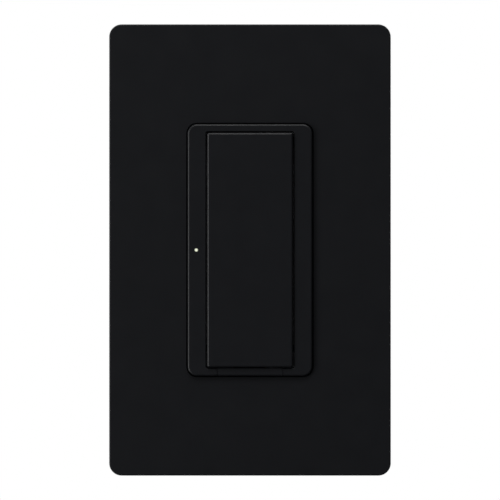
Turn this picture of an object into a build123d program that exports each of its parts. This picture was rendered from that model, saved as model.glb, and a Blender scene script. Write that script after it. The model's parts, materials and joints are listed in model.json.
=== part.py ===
from build123d import *
import os

os.makedirs("parts", exist_ok=True)

# A single-gang electronic wall switch: a large tap paddle in a rectangular bezel, one
# status light, a pull-out service switch under the paddle, and a screwless wallplate.
# Millimetres. X is right, Y is into the wall, Z is up, and the wall's surface is y = 0.
# The origin lies on the wall's surface, midway between the two box screws.

# --- Wallplate ---------------------------------------------------------------
plate_width = 74.5
plate_height = 119.4
plate_depth = 7.6
plate_wall = 2.0
plate_corner = 3.3
plate_edge_round = 0.3
plate_opening_round = 0.15
plate_gap = 0.25
pry_notch_width = 12.0
pry_notch_depth = 1.2
rib_length = 12.0
rib_spacing = 60.0
rib_back = 0.6
rib_depth = 2.0

# --- Bezel and paddle --------------------------------------------------------
rail_width = 4.85
rail_end_width = 2.0
bezel_proud = 1.3
bezel_corner = 2.5
bezel_edge_round = 0.5
bezel_front_wall = 1.6
bezel_side_wall = 1.2
flange_lip = 1.5
flange_lip_ends = 1.7
flange_thickness = 1.4
paddle_width = 22.7
paddle_height = 62.0
paddle_proud = 0.9
paddle_gap = 0.3
paddle_corner = 0.5
paddle_edge_round = 0.55
paddle_wall = 1.6
paddle_skirt_wall = 1.4
paddle_skirt = 3.8
paddle_rib_width = 0.8
paddle_rib_height = 1.6
inner_edge_round = 0.2

# --- Hinge, stops, pusher and return spring of the paddle ---------------------
trunnion_radius = 1.0
trunnion_reach = 1.2
trunnion_from_top = 2.0
hinge_behind_plate = 2.1
socket_clearance = 0.05
socket_depth = 1.2
stop_from_bottom = 5.0
stop_height = 1.8
stop_depth = 1.5
stop_reach = 1.1
stop_clearance = 0.3
stop_travel = 0.75
pusher_drop = 10.0
pusher_width = 4.0
pusher_height = 3.0
pusher_gap = 0.2
spring_from_bottom = 7.0
spring_radius = 2.1
spring_wire = 0.3
spring_turns = 4.0
spring_peg = 1.5
spring_peg_length = 1.5

# --- Service switch ----------------------------------------------------------
tab_width = 17.2
tab_gap = 0.15
stem_width = 8.0
stem_margin = 0.1
stem_depth = 13.5
service_travel = 4.0
barb_reach = 0.7
barb_length = 1.5
running_gap = 0.3
bridge_width = 12.0
bridge_thickness = 0.6
contact_gap = 0.2
contact_spacing = 10.0
contact_width = 2.0
contact_thickness = 0.6
contact_bend_inset = 0.4

# --- Mounting yoke -----------------------------------------------------------
yoke_width = 45.0
yoke_margin = 2.0
yoke_thickness = 1.6
yoke_corner = 1.5
ear_width = 24.0
ear_end = 53.0
ear_hole_radius = 1.7
ear_hole_inset = 3.6
ear_score_rise = 4.2
box_screw_spacing = 83.34
plate_screw_spacing = 96.84
slot_length = 7.0
slot_width = 4.2
window_width = 8.0
window_height = 7.0
score_inset = 3.2
score_width = 0.5
score_depth = 0.4
ground_tab_inner = 13.0
ground_tab_outer = 22.0
ground_tab_drop = 3.5
ground_tab_length = 9.0

# --- Wallplate adapter -------------------------------------------------------
adapter_side_gap = 1.25
adapter_end_gap = 2.2
adapter_thickness = 1.6
adapter_corner = 2.5
adapter_skirt_wall = 1.4
adapter_wall_gap = 0.2
adapter_window_gap = 0.2

# --- Screws ------------------------------------------------------------------
screw_radius = 1.75
screw_neck_radius = 1.4
screw_neck_end = 0.3
box_screw_reach = 22.0
box_head_radius = 3.0
box_head_height = 2.2
washer_radius = 3.3
washer_bore = 1.5
washer_thickness = 0.8
washer_clearance = 0.2
adapter_head_radius = 2.9
adapter_head_height = 1.6
adapter_screw_end = 1.5
thread_clearance = 0.05
driver_slot_width = 0.9
driver_slot_depth = 0.9
housing_screw_radius = 1.15
housing_head_radius = 2.4
housing_head_height = 1.6
housing_screw_reach = 4.8
binding_screw_radius = 2.0
binding_head_radius = 3.9
binding_head_height = 1.9
binding_screw_length = 6.0
ground_screw_length = 4.4

# --- Rear housing ------------------------------------------------------------
housing_width = 43.6
housing_margin = 0.5
housing_depth = 28.5
housing_wall = 1.6
housing_corner = 2.5
housing_back_round = 1.0
post_below_hinge = 2.0
post_radius = 3.4
post_tip_radius = 2.4
post_bore = 1.35
counterbore_radius = 2.7
counterbore_depth = 2.6
pocket_below_post = 13.0
pocket_height = 10.0
pocket_front = 10.0
pocket_back = 22.0
pocket_depth = 4.4
terminal_thickness = 1.2
terminal_margin = 0.3
terminal_gap = 0.1
terminal_tail_width = 3.0
label_width = 30.0
label_height = 34.0
label_thickness = 0.15
label_recess_margin = 0.6
label_recess_depth = 0.3
strip_gauge_length = 14.0
strip_gauge_width = 2.2
strip_gauge_depth = 0.5
strip_gauge_rise = 22.5

# --- Circuit -----------------------------------------------------------------
board_side_gap = 0.2
board_end_gap = 3.1
board_front = 5.0
board_thickness = 1.6
board_corner = 1.0
post_hole_clearance = 0.2
sheet_thickness = 0.3
key_size = 6.0
key_height = 3.5
key_rise = 1.2
key_radius = 1.7
key_clearance = 0.1
key_travel = 0.5
key_stroke_room = 0.2
key_length = 2.3
light_off_centre = 0.12
light_radius = 0.5
light_stem_radius = 0.95
light_gap = 0.3
light_hole_clearance = 0.5
led_length = 1.6
led_width = 0.9
led_height = 0.8
triac_width = 10.0
triac_body_height = 9.2
triac_thickness = 4.4
triac_tab_height = 6.6
triac_tab_thickness = 1.3
triac_hole_drop = 2.8
triac_hole_radius = 1.85
triac_lead_pitch = 2.54
triac_lead_width = 0.8
triac_lead_thickness = 0.5
triac_lead_reach = 2.6
pad_margin = 0.6
rivet_below_hinge = 4.0
rivet_radius = 1.6
rivet_head_radius = 2.8
rivet_head_height = 0.7
choke_outer = 8.5
choke_inner = 5.0
choke_height = 7.2
winding_thickness = 0.8
winding_gap = 3.0
film_x = 2.0
film_z = -8.0
film_length = 18.0
film_width = 8.0
film_height = 13.0
can_x = -13.5
can_z = -13.0
can_radius = 4.0
can_height = 12.0
disc_z = -20.0
disc_radius = 5.0
disc_thickness = 3.6
disc_lift = 0.6
disc_lead_radius = 0.35
disc_lead_spread = 2.5
chip_x = 10.0
chip_z = -4.0
chip_size = 5.0
chip_height = 1.0
small_part_offset = 5.0
small_part_spacing = 4.0
small_part_length = 2.0
small_part_width = 1.25
small_part_height = 0.6

# --- Places worked out from the sizes above ------------------------------------
plate_front = -plate_depth
bezel_front = plate_front - bezel_proud
paddle_front = bezel_front - paddle_proud
paddle_inside = paddle_front + paddle_wall
yoke_front = -yoke_thickness
flange_front = yoke_front - flange_thickness
paddle_rib_spacing = paddle_width / 2
opening_width = paddle_width + 2 * paddle_gap
opening_height = paddle_height + 2 * paddle_gap
bezel_width = opening_width + 2 * rail_width
bezel_height = opening_height + 2 * rail_end_width
flange_width = bezel_width + 2 * flange_lip
flange_height = bezel_height + 2 * flange_lip_ends
yoke_height = flange_height + 2 * yoke_margin
housing_height = flange_height + 2 * housing_margin
adapter_width = plate_width - 2 * (plate_wall + adapter_side_gap)
adapter_height = plate_height - 2 * (plate_wall + adapter_end_gap)
board_width = housing_width - 2 * (housing_wall + board_side_gap)
board_height = housing_height - 2 * (housing_wall + board_end_gap)
rail_inner = opening_width / 2
rail_outer = bezel_width / 2
cavity_inner = rail_inner + bezel_side_wall
cavity_outer = rail_outer - bezel_side_wall
hinge_y = plate_front + hinge_behind_plate
hinge_z = paddle_height / 2 - trunnion_from_top
stop_z = stop_from_bottom - paddle_height / 2
spring_z = spring_from_bottom - paddle_height / 2
post_x = (rail_inner + rail_outer) / 2
post_z = hinge_z - post_below_hinge
rivet_z = hinge_z - rivet_below_hinge
triac_top = rivet_z + triac_hole_drop
triac_z = triac_top - triac_tab_height - triac_body_height
light_x = -post_x - light_off_centre
pocket_rise = post_z - pocket_below_post
choke_z = pocket_rise
board_back = board_front + board_thickness
housing_floor = housing_depth - housing_wall
box_screw_z = box_screw_spacing / 2
adapter_screw_z = plate_screw_spacing / 2
adapter_front = yoke_front - adapter_thickness
tab_bottom = -bezel_height / 2
tab_top = -opening_height / 2
stem_bottom = tab_bottom + stem_margin
stem_top = tab_top - stem_margin
bridge_back = stem_depth + bridge_thickness
contact_front = bridge_back + contact_gap
key_front = board_front - key_height
key_tip = key_front - key_rise
pusher_tip = key_tip - pusher_gap
pocket_floor = housing_width / 2 - pocket_depth
binding_y = (pocket_front + pocket_back) / 2
ground_tab_bottom = -yoke_height / 2 - ground_tab_drop
ground_tab_top = ground_tab_bottom + yoke_thickness
post_places = [(x, z) for x in (-post_x, post_x) for z in (-post_z, post_z)]
pockets = [("hot", -1, pocket_rise), ("load", 1, pocket_rise), ("remote", 1, -pocket_rise)]


def wall_plane(y):
    """A plane parallel to the wall at depth y, facing the room: its axes are X and Z."""
    return Plane.XZ.offset(-y)


def block(x_span, y_span, z_span, mode=Mode.ADD):
    """A rectangular block between two X, two Y and two Z values, lowest first."""
    with BuildSketch(wall_plane(y_span[1])) as section:
        with Locations(((x_span[0] + x_span[1]) / 2, (z_span[0] + z_span[1]) / 2)):
            Rectangle(x_span[1] - x_span[0], z_span[1] - z_span[0])
    extrude(section.sketch, amount=y_span[1] - y_span[0], mode=mode)


def round_block(width, height, corner, y_span, mode=Mode.ADD):
    """A block with rounded corners, centred on the Y axis, between two depths."""
    with BuildSketch(wall_plane(y_span[1])) as section:
        RectangleRounded(width, height, corner)
    extrude(section.sketch, amount=y_span[1] - y_span[0], mode=mode)


def rod(places, radius, y_span, mode=Mode.ADD):
    """A round rod along Y at each (x, z) place, between two depths."""
    with BuildSketch(wall_plane(y_span[1])) as section:
        with Locations(*places):
            Circle(radius)
    extrude(section.sketch, amount=y_span[1] - y_span[0], mode=mode)


def cross_rod(y, z, radius, x_span, mode=Mode.ADD):
    """A round rod along X at (y, z), between two X values."""
    with BuildSketch(Plane.YZ.offset(x_span[0])) as section:
        with Locations((y, z)):
            Circle(radius)
    extrude(section.sketch, amount=x_span[1] - x_span[0], mode=mode)


def span(side, inner, outer):
    """The X span from inner to outer on the right (side 1) or on the left (side -1)."""
    return tuple(sorted((side * inner, side * outer)))


# --- Wallplate: a thin shell that hides the adapter ------------------------------
with BuildPart() as wallplate:
    round_block(plate_width, plate_height, plate_corner, (plate_front, 0))
    fillet(wallplate.faces().sort_by(Axis.Y)[0].edges(), plate_edge_round)
    round_block(
        plate_width - 2 * plate_wall,
        plate_height - 2 * plate_wall,
        plate_corner - plate_wall,
        (plate_front + plate_wall, 0),
        Mode.SUBTRACT,
    )
    round_block(
        bezel_width + 2 * plate_gap,
        bezel_height + 2 * plate_gap,
        bezel_corner + plate_gap,
        (plate_front, plate_front + plate_wall),
        Mode.SUBTRACT,
    )
    opening_edges = wallplate.faces().sort_by(Axis.Y)[0].inner_wires()[0].edges()
    fillet(opening_edges, plate_opening_round)
    block(
        (-pry_notch_width / 2, pry_notch_width / 2),
        (-pry_notch_depth, 0),
        (-plate_height / 2, -plate_height / 2 + plate_wall),
        Mode.SUBTRACT,
    )
    for side in (-1, 1):
        for rib_z in (-rib_spacing / 2, rib_spacing / 2):
            block(
                span(side, adapter_width / 2 + running_gap, plate_width / 2 - plate_wall),
                (-rib_back - rib_depth, -rib_back),
                (rib_z - rib_length / 2, rib_z + rib_length / 2),
            )
wallplate.part.label = "wallplate"
export_step(wallplate.part, "parts/wallplate.step")

# --- Adapter: the frame that the wallplate snaps onto ----------------------------
with BuildPart() as wallplate_adapter:
    round_block(adapter_width, adapter_height, adapter_corner, (adapter_front, -adapter_wall_gap))
    round_block(
        adapter_width - 2 * adapter_skirt_wall,
        adapter_height - 2 * adapter_skirt_wall,
        adapter_corner - adapter_skirt_wall,
        (yoke_front, -adapter_wall_gap),
        Mode.SUBTRACT,
    )
    round_block(
        flange_width + 2 * adapter_window_gap,
        flange_height + 2 * adapter_window_gap,
        bezel_corner,
        (adapter_front, yoke_front),
        Mode.SUBTRACT,
    )
    screw_notch = washer_radius + washer_clearance
    for end in (-1, 1):
        rod([(0, end * box_screw_z)], screw_notch, (adapter_front, yoke_front), Mode.SUBTRACT)
        block(
            (-screw_notch, screw_notch),
            (adapter_front, yoke_front),
            tuple(sorted((end * flange_height / 2, end * box_screw_z))),
            Mode.SUBTRACT,
        )
        rod(
            [(0, end * adapter_screw_z)],
            screw_radius + thread_clearance,
            (adapter_front, yoke_front),
            Mode.SUBTRACT,
        )
wallplate_adapter.part.label = "wallplate_adapter"
export_step(wallplate_adapter.part, "parts/wallplate_adapter.step")

# --- Bezel: the fixed frame around the paddle ------------------------------------
with BuildPart() as bezel:
    round_block(bezel_width, bezel_height, bezel_corner, (bezel_front, flange_front))
    fillet(bezel.faces().sort_by(Axis.Y)[0].edges(), bezel_edge_round)
    round_block(flange_width, flange_height, bezel_corner, (flange_front, yoke_front))
    round_block(opening_width, opening_height, paddle_corner, (bezel_front, yoke_front), Mode.SUBTRACT)
    fillet(bezel.faces().sort_by(Axis.Y)[0].inner_wires()[0].edges(), inner_edge_round)
    cavity_half = post_z - post_radius
    for side in (-1, 1):
        block(
            span(side, cavity_inner, cavity_outer),
            (bezel_front + bezel_front_wall, yoke_front),
            (-cavity_half, cavity_half),
            Mode.SUBTRACT,
        )
        cross_rod(
            hinge_y,
            hinge_z,
            trunnion_radius + socket_clearance,
            span(side, rail_inner - paddle_gap, rail_inner + socket_depth),
            Mode.SUBTRACT,
        )
        block(
            span(side, rail_inner - paddle_gap, rail_inner + socket_depth),
            (
                hinge_y - stop_depth / 2 - stop_clearance,
                hinge_y + stop_depth / 2 + stop_travel + stop_clearance,
            ),
            (stop_z - stop_height / 2 - stop_clearance, stop_z + stop_height / 2 + stop_clearance),
            Mode.SUBTRACT,
        )
    rod(
        post_places,
        housing_screw_radius + thread_clearance,
        (yoke_front - housing_screw_reach - running_gap, yoke_front),
        Mode.SUBTRACT,
    )
    rod([(light_x, 0)], light_radius, (bezel_front, bezel_front + bezel_front_wall), Mode.SUBTRACT)
    tab_half = tab_width / 2 + tab_gap
    block(
        (-tab_half, tab_half),
        (bezel_front, flange_front),
        (tab_bottom, tab_top + inner_edge_round),
        Mode.SUBTRACT,
    )
    stem_half = stem_width / 2 + tab_gap
    block(
        (-stem_half, stem_half),
        (flange_front, yoke_front),
        (stem_bottom - tab_gap, tab_top),
        Mode.SUBTRACT,
    )
bezel.part.label = "bezel"
export_step(bezel.part, "parts/bezel.step")

# --- Tap paddle: hinged at its top, with stops, a pusher and a spring peg -----------
with BuildPart() as tap_paddle:
    skirt_back = paddle_inside + paddle_skirt
    round_block(paddle_width, paddle_height, paddle_corner, (paddle_front, skirt_back))
    fillet(tap_paddle.faces().sort_by(Axis.Y)[0].edges(), paddle_edge_round)
    block(
        (-paddle_width / 2 + paddle_skirt_wall, paddle_width / 2 - paddle_skirt_wall),
        (paddle_inside, skirt_back),
        (-paddle_height / 2 + paddle_skirt_wall, paddle_height / 2 - paddle_skirt_wall),
        Mode.SUBTRACT,
    )
    for side in (-1, 1):
        cross_rod(
            hinge_y,
            hinge_z,
            trunnion_radius,
            span(side, paddle_width / 2 - paddle_skirt_wall, paddle_width / 2 + trunnion_reach),
        )
        block(
            span(side, paddle_width / 2 - paddle_skirt_wall, paddle_width / 2 + stop_reach),
            (hinge_y - stop_depth / 2, hinge_y + stop_depth / 2),
            (stop_z - stop_height / 2, stop_z + stop_height / 2),
        )
    block(
        (-pusher_width / 2, pusher_width / 2),
        (paddle_inside, pusher_tip),
        (-pusher_drop - pusher_height / 2, -pusher_drop + pusher_height / 2),
    )
    rod([(0, spring_z)], spring_peg, (paddle_inside, paddle_inside + spring_peg_length))
    for rib_x in (-paddle_rib_spacing / 2, paddle_rib_spacing / 2):
        block(
            (rib_x - paddle_rib_width / 2, rib_x + paddle_rib_width / 2),
            (paddle_inside, paddle_inside + paddle_rib_height),
            (-paddle_height / 2 + paddle_skirt_wall, paddle_height / 2 - paddle_skirt_wall),
        )
tap_paddle.part.label = "tap_paddle"
export_step(tap_paddle.part, "parts/tap_paddle.step")

# --- Return spring: a coil between the paddle and the yoke ---------------------------
with BuildPart() as paddle_spring:
    coil_start = yoke_front - spring_wire
    coil_length = coil_start - (paddle_inside + spring_wire)
    with BuildLine() as coil:
        Helix(
            pitch=coil_length / spring_turns,
            height=coil_length,
            radius=spring_radius,
            center=(0, coil_start, spring_z),
            direction=(0, -1, 0),
        )
    with BuildSketch(Plane(origin=coil.line @ 0, z_dir=coil.line % 0)) as wire_section:
        Circle(spring_wire)
    sweep(wire_section.sketch, path=coil.line, is_frenet=True)
paddle_spring.part.label = "paddle_spring"
export_step(paddle_spring.part, "parts/paddle_spring.step")

# --- Light pipe: carries the status light to the front ---------------------------------
with BuildPart() as light_pipe:
    led_front = board_front - led_height
    rod([(light_x, 0)], light_radius, (bezel_front, bezel_front + bezel_front_wall))
    rod(
        [(light_x, 0)],
        light_stem_radius,
        (bezel_front + bezel_front_wall, led_front - light_gap),
    )
light_pipe.part.label = "light_pipe"
export_step(light_pipe.part, "parts/light_pipe.step")

# --- Service switch: a pull-out tab whose stem carries the contact bridge ---------------
with BuildPart() as service_slider:
    block(
        (-tab_width / 2, tab_width / 2),
        (bezel_front, flange_front - running_gap),
        (tab_bottom, tab_top),
    )
    front_edges = service_slider.faces().sort_by(Axis.Y)[0].edges()
    fillet(front_edges.sort_by(Axis.Z)[0], bezel_edge_round)
    block(
        (-stem_width / 2, stem_width / 2),
        (flange_front - running_gap, stem_depth),
        (stem_bottom, stem_top),
    )
    barb_front = running_gap + service_travel
    block(
        (-stem_width / 2 - barb_reach, stem_width / 2 + barb_reach),
        (barb_front, barb_front + barb_length),
        (stem_bottom, stem_top),
    )
service_slider.part.label = "service_slider"
export_step(service_slider.part, "parts/service_slider.step")

with BuildPart() as contact_bridge:
    block(
        (-bridge_width / 2, bridge_width / 2),
        (stem_depth, bridge_back),
        (stem_bottom, stem_top),
    )
contact_bridge.part.label = "contact_bridge"
export_step(contact_bridge.part, "parts/contact_bridge.step")

with BuildPart() as service_contacts:
    blade_top = -board_height / 2 + contact_bend_inset + contact_thickness
    for side in (-1, 1):
        blade_x = span(
            side,
            (contact_spacing - contact_width) / 2,
            (contact_spacing + contact_width) / 2,
        )
        block(
            blade_x,
            (board_back, contact_front + contact_thickness),
            (blade_top - contact_thickness, blade_top),
        )
        block(
            blade_x,
            (contact_front, contact_front + contact_thickness),
            (stem_bottom, blade_top),
        )
service_contacts.part.label = "service_contacts"
export_step(service_contacts.part, "parts/service_contacts.step")

# --- Mounting yoke: the metal strap that holds everything -------------------------------
with BuildPart() as mounting_yoke:
    round_block(yoke_width, yoke_height, yoke_corner, (yoke_front, 0))
    round_block(ear_width, 2 * ear_end, yoke_corner, (yoke_front, 0))
    block(
        (ground_tab_inner, ground_tab_outer),
        (yoke_front, 0),
        (ground_tab_bottom, -yoke_height / 2 + yoke_corner),
    )
    block(
        (ground_tab_inner, ground_tab_outer),
        (yoke_front, ground_tab_length),
        (ground_tab_bottom, ground_tab_top),
    )
    with BuildSketch(wall_plane(0)):
        with Locations((0, -box_screw_z), (0, box_screw_z)):
            SlotOverall(slot_length, slot_width)
        with Locations((0, -pusher_drop)):
            Rectangle(window_width, window_height)
        with Locations((0, (stem_bottom + stem_top) / 2)):
            Rectangle(
                stem_width + 2 * running_gap,
                stem_top - stem_bottom + 2 * running_gap,
            )
    extrude(amount=yoke_thickness, mode=Mode.SUBTRACT)
    adapter_holes = [(0, -adapter_screw_z), (0, adapter_screw_z)]
    rod(adapter_holes, screw_radius + thread_clearance, (yoke_front, 0), Mode.SUBTRACT)
    rod(post_places, post_bore, (yoke_front, 0), Mode.SUBTRACT)
    rod([(light_x, 0)], light_stem_radius + light_hole_clearance, (yoke_front, 0), Mode.SUBTRACT)
    rod([(0, rivet_z)], rivet_radius, (yoke_front, 0), Mode.SUBTRACT)
    ear_hole_x = ear_width / 2 - ear_hole_inset
    ear_holes = [(x, z) for x in (-ear_hole_x, ear_hole_x) for z in (-adapter_screw_z, adapter_screw_z)]
    rod(ear_holes, ear_hole_radius, (yoke_front, 0), Mode.SUBTRACT)
    for score_z in (-box_screw_z - ear_score_rise, box_screw_z + ear_score_rise):
        block(
            (-ear_width / 2, ear_width / 2),
            (-score_depth, 0),
            (score_z - score_width / 2, score_z + score_width / 2),
            Mode.SUBTRACT,
        )
    for side in (-1, 1):
        score_x = side * (yoke_width / 2 - score_inset)
        block(
            (score_x - score_width / 2, score_x + score_width / 2),
            (yoke_front, yoke_front + score_depth),
            (-yoke_height / 2, yoke_height / 2),
            Mode.SUBTRACT,
        )
    ground_x = (ground_tab_inner + ground_tab_outer) / 2
    ground_y = ground_tab_length / 2
    with BuildSketch(Plane.XY.offset(ground_tab_bottom)):
        with Locations((ground_x, ground_y)):
            Circle(screw_radius + thread_clearance)
    extrude(amount=yoke_thickness, mode=Mode.SUBTRACT)
mounting_yoke.part.label = "mounting_yoke"
export_step(mounting_yoke.part, "parts/mounting_yoke.step")

# --- Box screws and their retaining washers ---------------------------------------------
box_screw_places = [(0, -box_screw_z), (0, box_screw_z)]
with BuildPart() as box_screws:
    washer_front = yoke_front - washer_thickness
    head_front = washer_front - box_head_height
    rod(box_screw_places, box_head_radius, (head_front, washer_front))
    rod(box_screw_places, screw_neck_radius, (washer_front, screw_neck_end))
    rod(box_screw_places, screw_radius, (screw_neck_end, box_screw_reach))
    for place_x, place_z in box_screw_places:
        block(
            (place_x - box_head_radius, place_x + box_head_radius),
            (head_front, head_front + driver_slot_depth),
            (place_z - driver_slot_width / 2, place_z + driver_slot_width / 2),
            Mode.SUBTRACT,
        )
box_screws.part.label = "box_screws"
export_step(box_screws.part, "parts/box_screws.step")

with BuildPart() as screw_washers:
    rod(box_screw_places, washer_radius, (washer_front, yoke_front))
    rod(box_screw_places, washer_bore, (washer_front, yoke_front), Mode.SUBTRACT)
screw_washers.part.label = "screw_washers"
export_step(screw_washers.part, "parts/screw_washers.step")

with BuildPart() as adapter_screws:
    adapter_head_front = adapter_front - adapter_head_height
    rod(adapter_holes, adapter_head_radius, (adapter_head_front, adapter_front))
    rod(adapter_holes, screw_radius, (adapter_front, adapter_screw_end))
    for place_x, place_z in adapter_holes:
        block(
            (place_x - adapter_head_radius, place_x + adapter_head_radius),
            (adapter_head_front, adapter_head_front + driver_slot_depth),
            (place_z - driver_slot_width / 2, place_z + driver_slot_width / 2),
            Mode.SUBTRACT,
        )
adapter_screws.part.label = "adapter_screws"
export_step(adapter_screws.part, "parts/adapter_screws.step")

# --- Ground screw, up through the bent tab of the yoke ----------------------------------
with BuildPart() as ground_screw:
    with BuildSketch(Plane.XY.offset(ground_tab_bottom - binding_head_height)):
        with Locations((ground_x, ground_y)):
            Circle(binding_head_radius)
    extrude(amount=binding_head_height)
    with BuildSketch(Plane.XY.offset(ground_tab_bottom)):
        with Locations((ground_x, ground_y)):
            Circle(screw_radius)
    extrude(amount=ground_screw_length)
    with BuildSketch(Plane.XY.offset(ground_tab_bottom - binding_head_height)):
        with Locations((ground_x, ground_y)):
            Rectangle(2 * binding_head_radius, driver_slot_width)
    extrude(amount=driver_slot_depth, mode=Mode.SUBTRACT)
ground_screw.part.label = "ground_screw"
export_step(ground_screw.part, "parts/ground_screw.step")

# --- Rear housing: a box with stepped posts and open terminal pockets -------------------
with BuildPart() as rear_housing:
    round_block(housing_width, housing_height, housing_corner, (0, housing_depth))
    fillet(rear_housing.faces().sort_by(Axis.Y)[-1].edges(), housing_back_round)
    round_block(
        housing_width - 2 * housing_wall,
        housing_height - 2 * housing_wall,
        housing_corner - housing_wall,
        (0, housing_floor),
        Mode.SUBTRACT,
    )
    rod(post_places, post_radius, (board_back, housing_floor))
    rod(post_places, post_tip_radius, (0, board_back))
    rod(post_places, post_bore, (0, housing_depth), Mode.SUBTRACT)
    rod(
        post_places,
        counterbore_radius,
        (housing_depth - counterbore_depth, housing_depth),
        Mode.SUBTRACT,
    )
    round_block(
        label_width + 2 * label_recess_margin,
        label_height + 2 * label_recess_margin,
        board_corner,
        (housing_depth - label_recess_depth, housing_depth),
        Mode.SUBTRACT,
    )
    with BuildSketch(wall_plane(housing_depth)) as strip_gauge:
        with Locations((0, strip_gauge_rise), (0, -strip_gauge_rise)):
            SlotOverall(strip_gauge_length, strip_gauge_width)
    extrude(strip_gauge.sketch, amount=strip_gauge_depth, mode=Mode.SUBTRACT)
    for pocket_name, side, pocket_z in pockets:
        shell_half = pocket_height / 2 + housing_wall
        block(
            span(side, pocket_floor - housing_wall, housing_width / 2 - housing_wall),
            (pocket_front - housing_wall, pocket_back + housing_wall),
            (pocket_z - shell_half, pocket_z + shell_half),
        )
        block(
            span(side, pocket_floor, housing_width / 2),
            (pocket_front, pocket_back),
            (pocket_z - pocket_height / 2, pocket_z + pocket_height / 2),
            Mode.SUBTRACT,
        )
        cross_rod(
            binding_y,
            pocket_z,
            binding_screw_radius + terminal_margin,
            span(side, pocket_floor - housing_wall, pocket_floor),
            Mode.SUBTRACT,
        )
        tail_half = terminal_tail_width / 2 + terminal_margin
        block(
            span(side, pocket_floor, pocket_floor + terminal_thickness + 2 * terminal_gap),
            (pocket_front - housing_wall, pocket_front),
            (pocket_z - tail_half, pocket_z + tail_half),
            Mode.SUBTRACT,
        )
rear_housing.part.label = "rear_housing"
export_step(rear_housing.part, "parts/rear_housing.step")

with BuildPart() as housing_screws:
    seat = housing_depth - counterbore_depth
    rod(post_places, housing_head_radius, (seat, seat + housing_head_height))
    rod(post_places, housing_screw_radius, (yoke_front - housing_screw_reach, seat))
    for place_x, place_z in post_places:
        block(
            (place_x - housing_head_radius, place_x + housing_head_radius),
            (seat + housing_head_height - driver_slot_depth, seat + housing_head_height),
            (place_z - driver_slot_width / 2, place_z + driver_slot_width / 2),
            Mode.SUBTRACT,
        )
housing_screws.part.label = "housing_screws"
export_step(housing_screws.part, "parts/housing_screws.step")

# --- Terminals: a brass plate and a binding screw in each pocket ------------------------
for pocket_name, side, pocket_z in pockets:
    plate_inner = pocket_floor + terminal_gap
    plate_outer = plate_inner + terminal_thickness
    plate_half = pocket_height / 2 - terminal_margin
    with BuildPart() as terminal_plate:
        block(
            span(side, plate_inner, plate_outer),
            (pocket_front + terminal_margin, pocket_back - terminal_margin),
            (pocket_z - plate_half, pocket_z + plate_half),
        )
        block(
            span(side, plate_inner, plate_outer),
            (board_back, pocket_front + terminal_margin),
            (pocket_z - terminal_tail_width / 2, pocket_z + terminal_tail_width / 2),
        )
        cross_rod(
            binding_y,
            pocket_z,
            binding_screw_radius + thread_clearance,
            span(side, plate_inner, plate_outer),
            Mode.SUBTRACT,
        )
    terminal_plate.part.label = pocket_name + "_terminal_plate"
    export_step(terminal_plate.part, "parts/" + pocket_name + "_terminal_plate.step")

    head_outer = plate_outer + binding_head_height
    with BuildPart() as terminal_screw:
        cross_rod(binding_y, pocket_z, binding_head_radius, span(side, plate_outer, head_outer))
        cross_rod(
            binding_y,
            pocket_z,
            binding_screw_radius,
            span(side, plate_outer - binding_screw_length, plate_outer),
        )
        block(
            span(side, head_outer - driver_slot_depth, head_outer),
            (binding_y - binding_head_radius, binding_y + binding_head_radius),
            (pocket_z - driver_slot_width / 2, pocket_z + driver_slot_width / 2),
            Mode.SUBTRACT,
        )
    terminal_screw.part.label = pocket_name + "_terminal_screw"
    export_step(terminal_screw.part, "parts/" + pocket_name + "_terminal_screw.step")

with BuildPart() as rating_label:
    round_block(
        label_width,
        label_height,
        board_corner,
        (housing_depth - label_recess_depth, housing_depth - label_recess_depth + label_thickness),
    )
rating_label.part.label = "rating_label"
export_step(rating_label.part, "parts/rating_label.step")

# --- Circuit board and the insulating sheet in front of it ------------------------------
with BuildPart() as circuit_board:
    round_block(board_width, board_height, board_corner, (board_front, board_back))
    rod(
        post_places,
        post_tip_radius + post_hole_clearance,
        (board_front, board_back),
        Mode.SUBTRACT,
    )
circuit_board.part.label = "circuit_board"
export_step(circuit_board.part, "parts/circuit_board.step")

pad_half = triac_width / 2 + pad_margin
pad_bottom = triac_z - pad_margin
pad_top = triac_top + pad_margin
with BuildPart() as insulator_sheet:
    round_block(board_width, board_height, board_corner, (0, sheet_thickness))
    rod(post_places, post_tip_radius + post_hole_clearance, (0, sheet_thickness), Mode.SUBTRACT)
    rod(
        [(light_x, 0)],
        light_stem_radius + light_hole_clearance,
        (0, sheet_thickness),
        Mode.SUBTRACT,
    )
    block(
        (-window_width / 2, window_width / 2),
        (0, sheet_thickness),
        (-pusher_drop - window_height / 2, -pusher_drop + window_height / 2),
        Mode.SUBTRACT,
    )
    block(
        (-pad_half - pad_margin, pad_half + pad_margin),
        (0, sheet_thickness),
        (pad_bottom - pad_margin, pad_top + pad_margin),
        Mode.SUBTRACT,
    )
insulator_sheet.part.label = "insulator_sheet"
export_step(insulator_sheet.part, "parts/insulator_sheet.step")

# --- Key switch under the paddle's pusher -----------------------------------------------
with BuildPart() as key_switch_body:
    key_half = key_size / 2
    block(
        (-key_half, key_half),
        (key_front, board_front),
        (-pusher_drop - key_half, -pusher_drop + key_half),
    )
    rod(
        [(0, -pusher_drop)],
        key_radius + key_clearance,
        (key_front, key_tip + key_length + key_travel + key_stroke_room),
        Mode.SUBTRACT,
    )
key_switch_body.part.label = "key_switch_body"
export_step(key_switch_body.part, "parts/key_switch_body.step")

with BuildPart() as key_plunger:
    rod([(0, -pusher_drop)], key_radius, (key_tip, key_tip + key_length))
key_plunger.part.label = "key_plunger"
export_step(key_plunger.part, "parts/key_plunger.step")

# --- Status light, controller and small parts on the front of the board -----------------
with BuildPart() as status_led:
    block(
        (light_x - led_width / 2, light_x + led_width / 2),
        (led_front, board_front),
        (-led_length / 2, led_length / 2),
    )
status_led.part.label = "status_led"
export_step(status_led.part, "parts/status_led.step")

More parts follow.
